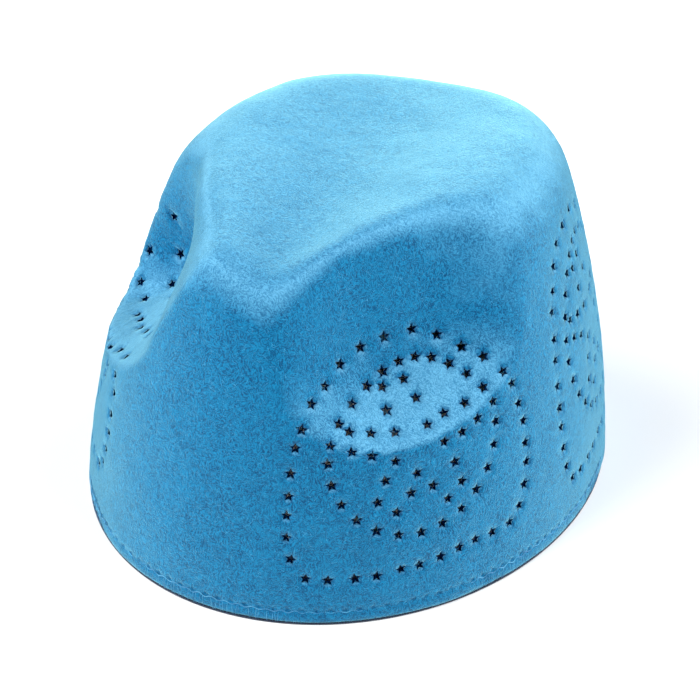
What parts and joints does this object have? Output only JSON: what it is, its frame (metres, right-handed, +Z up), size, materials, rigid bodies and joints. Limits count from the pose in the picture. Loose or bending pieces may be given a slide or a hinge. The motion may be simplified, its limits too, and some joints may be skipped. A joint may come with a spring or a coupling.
{
  "type": "felt prayer cap",
  "caption": "Rounded blue felt prayer cap with pinched front sides, a shallow valley along the top, star perforations in arched motifs and a dark band inside its rim.",
  "frame": {"origin": "middle of the cap's footprint, on the plane that its rim stands on", "axes": "+Z up through the top, -Y to the front of the cap, where it is pinched, +X to the cap's own left"},
  "size_m": [0.1754, 0.2013, 0.1208],
  "materials": {
    "felt": "matte wool felt, sky blue, with a soft fuzz and a brushed grain",
    "band": "matte woven navy tape"
  },
  "bodies": {
    "root": {"crown": "felt", "sweatband": "band"}
  },
  "joints": []
}
